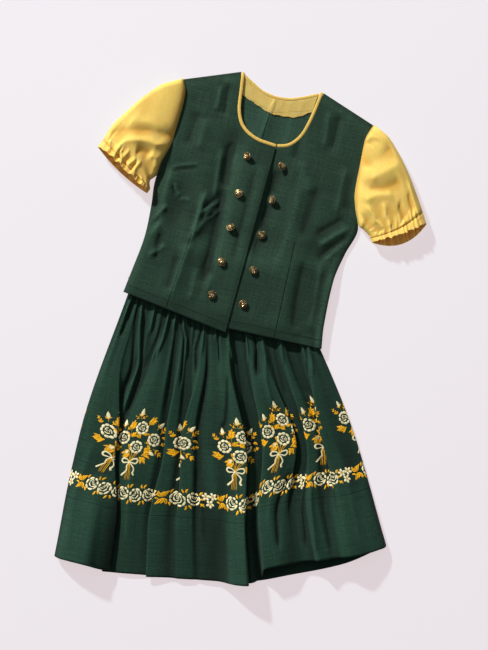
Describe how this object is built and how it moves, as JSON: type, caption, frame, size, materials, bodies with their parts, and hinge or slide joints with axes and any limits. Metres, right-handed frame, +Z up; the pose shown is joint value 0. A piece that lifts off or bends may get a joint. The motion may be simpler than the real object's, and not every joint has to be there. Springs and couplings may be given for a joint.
{
  "type": "dirndl dress",
  "caption": "Two-piece dirndl laid flat: double-breasted linen bodice with puff sleeves over a gathered skirt with an embroidered flower border.",
  "frame": {"origin": "middle of the dress's box at the surface it lies on", "axes": "+Y from the skirt's hem towards the neck, +X towards the wearer's left side, +Z up from the surface"},
  "size_m": [0.7422, 1.0212, 0.0506],
  "materials": {
    "green_linen": "dark green slubby linen, plain weave, slight sheen",
    "yellow_cotton": "golden yellow cotton with a soft sheen",
    "antique_brass": "antiqued brass, dark in the hollows of its filigree"
  },
  "bodies": {
    "root": {"bodice_back": "green_linen", "bodice_front_right": "green_linen", "bodice_front_left": "green_linen", "skirt_front": "green_linen", "skirt_back": "green_linen", "waistband_front": "green_linen", "waistband_back": "green_linen", "sleeve_right": "yellow_cotton", "sleeve_left": "yellow_cotton", "neck_binding_right": "yellow_cotton", "neck_binding_left": "yellow_cotton", "neck_binding_back": "yellow_cotton", "back_neck_facing": "yellow_cotton", "button_01": "antique_brass", "button_02": "antique_brass", "button_03": "antique_brass", "button_04": "antique_brass", "button_05": "antique_brass", "button_06": "antique_brass", "button_07": "antique_brass", "button_08": "antique_brass", "button_09": "antique_brass", "button_10": "antique_brass"}
  },
  "joints": []
}
